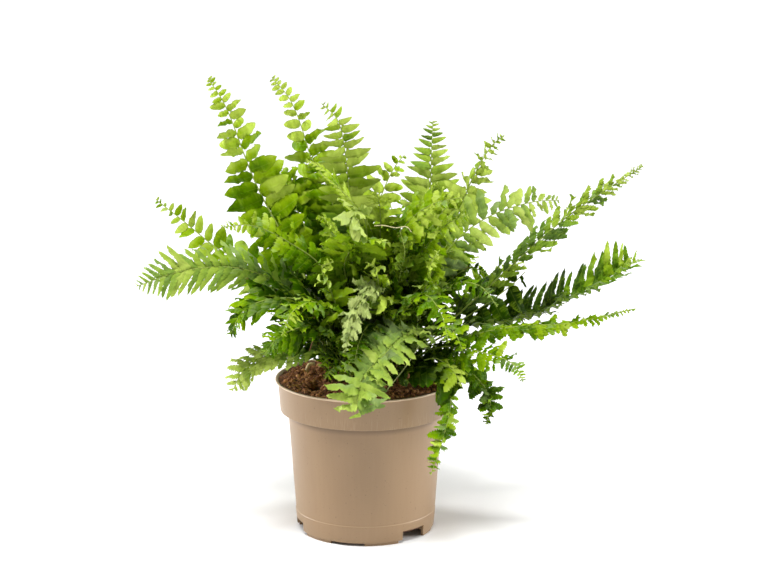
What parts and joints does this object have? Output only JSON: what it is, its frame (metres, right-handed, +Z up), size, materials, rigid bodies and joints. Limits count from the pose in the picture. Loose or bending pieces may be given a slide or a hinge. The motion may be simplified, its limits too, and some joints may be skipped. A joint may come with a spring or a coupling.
{
  "type": "potted fern",
  "caption": "Sword fern with arching pinnate fronds growing in a round tapered plastic nursery pot filled with peat.",
  "frame": {"origin": "on the pot's axis, at the flat pad under the pot, on the surface that the pot stands on", "axes": "+Z up along the pot's axis, +X along the fern's widest reach, -Y towards the fern's front"},
  "size_m": [0.3301, 0.2099, 0.3001],
  "materials": {
    "pot_plastic": "satin, finely streaked taupe polypropylene",
    "peat": "moist fibrous peat, rough and crumbly",
    "root_stock": "brown scaly root stock",
    "shoot": "thin green runner",
    "cut_root": "pale cut root",
    "frond": "semi-gloss leaf, light green to deep green"
  },
  "bodies": {
    "root": {"pot": "pot_plastic", "soil": "peat", "crown": "root_stock", "runner": "shoot", "root_stub": "cut_root", "frond_back_1_1": "frond", "frond_back_1_2": "frond", "frond_back_1_3": "frond", "frond_back_1_4": "frond", "frond_back_1_5": "frond", "frond_back_1_6": "frond", "frond_back_2_1": "frond", "frond_back_2_2": "frond", "frond_back_2_3": "frond", "frond_back_2_4": "frond", "frond_back_3_1": "frond", "frond_centre_face": "frond", "frond_centre_right": "frond", "frond_centre_tall": "frond", "frond_centre_up": "frond", "frond_front_dark": "frond", "frond_front_drop": "frond", "frond_front_left": "frond", "frond_front_pale": "frond", "frond_front_right": "frond", "frond_left_down_a": "frond", "frond_left_down_b": "frond", "frond_left_low": "frond", "frond_left_mid": "frond", "frond_left_reach": "frond", "frond_left_small": "frond", "frond_low_centre": "frond", "frond_low_right": "frond", "frond_mid_up_left": "frond", "frond_right_comb": "frond", "frond_right_dark": "frond", "frond_right_droop": "frond", "frond_right_front": "frond", "frond_right_hang": "frond", "frond_right_long": "frond", "frond_right_low": "frond", "frond_right_mid": "frond", "frond_right_trail": "frond", "frond_tall_left": "frond", "frond_tall_mid": "frond", "frond_tall_right": "frond", "frond_top_centre": "frond", "frond_top_right": "frond", "frond_top_small": "frond"}
  },
  "joints": []
}
